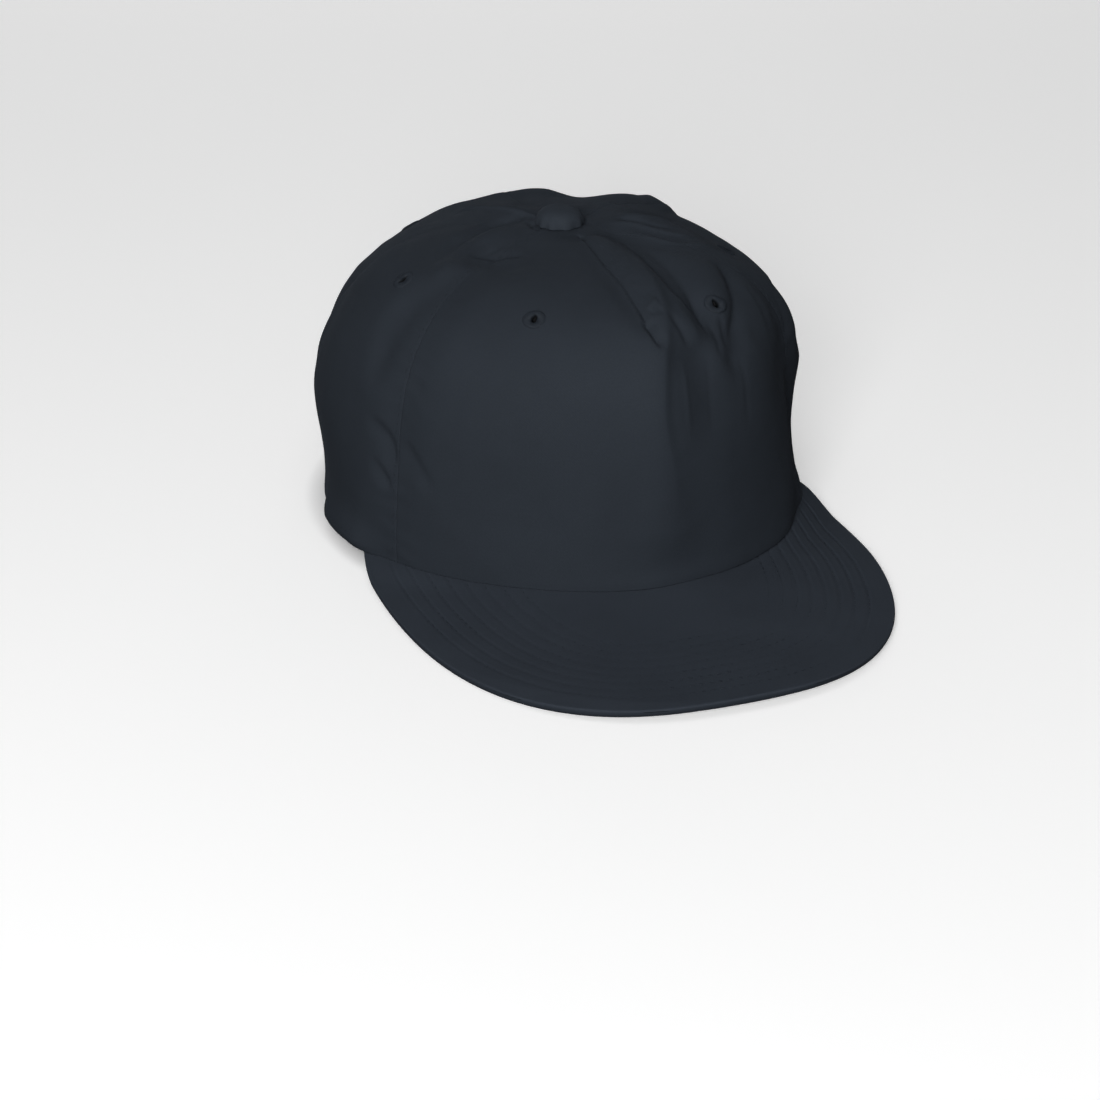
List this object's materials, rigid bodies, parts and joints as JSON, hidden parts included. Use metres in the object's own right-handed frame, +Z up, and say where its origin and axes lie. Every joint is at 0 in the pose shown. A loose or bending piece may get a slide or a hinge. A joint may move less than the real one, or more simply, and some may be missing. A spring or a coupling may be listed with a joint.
{
  "type": "surf cap",
  "caption": "Soft cloth surf cap with one wide darted front panel, a flat arched peak, a covered top button, sewn eyelets, a sweatband and a strapped rear opening.",
  "frame": {"origin": "on the surface that the cap rests on, under the middle of its bounding box", "axes": "+Z up, -Y the way the peak points, +X towards the wearer's left"},
  "size_m": [0.1774, 0.2719, 0.1102],
  "materials": {
    "crown_cloth": "matt, fine plain weave, dark navy",
    "peak_cloth": "matt, fine plain weave, with rows of stitching",
    "button_cloth": "matt, fine plain weave, drawn over a dome",
    "eyelet_thread": "satin embroidery thread",
    "sweatband_cloth": "matt cotton twill",
    "strap_cloth": "matt, fine plain weave, edge stitched",
    "slider_plastic": "satin moulded plastic"
  },
  "bodies": {
    "root": {"front_panel": "crown_cloth", "side_panel_right": "crown_cloth", "side_panel_left": "crown_cloth", "back_panel_right": "crown_cloth", "back_panel_left": "crown_cloth", "peak": "peak_cloth", "top_button": "button_cloth", "eyelet_front_right": "eyelet_thread", "eyelet_front_left": "eyelet_thread", "eyelet_side_right": "eyelet_thread", "eyelet_side_left": "eyelet_thread", "eyelet_back_right": "eyelet_thread", "eyelet_back_left": "eyelet_thread", "sweatband": "sweatband_cloth", "rear_strap": "strap_cloth", "strap_slider": "slider_plastic"}
  },
  "joints": []
}
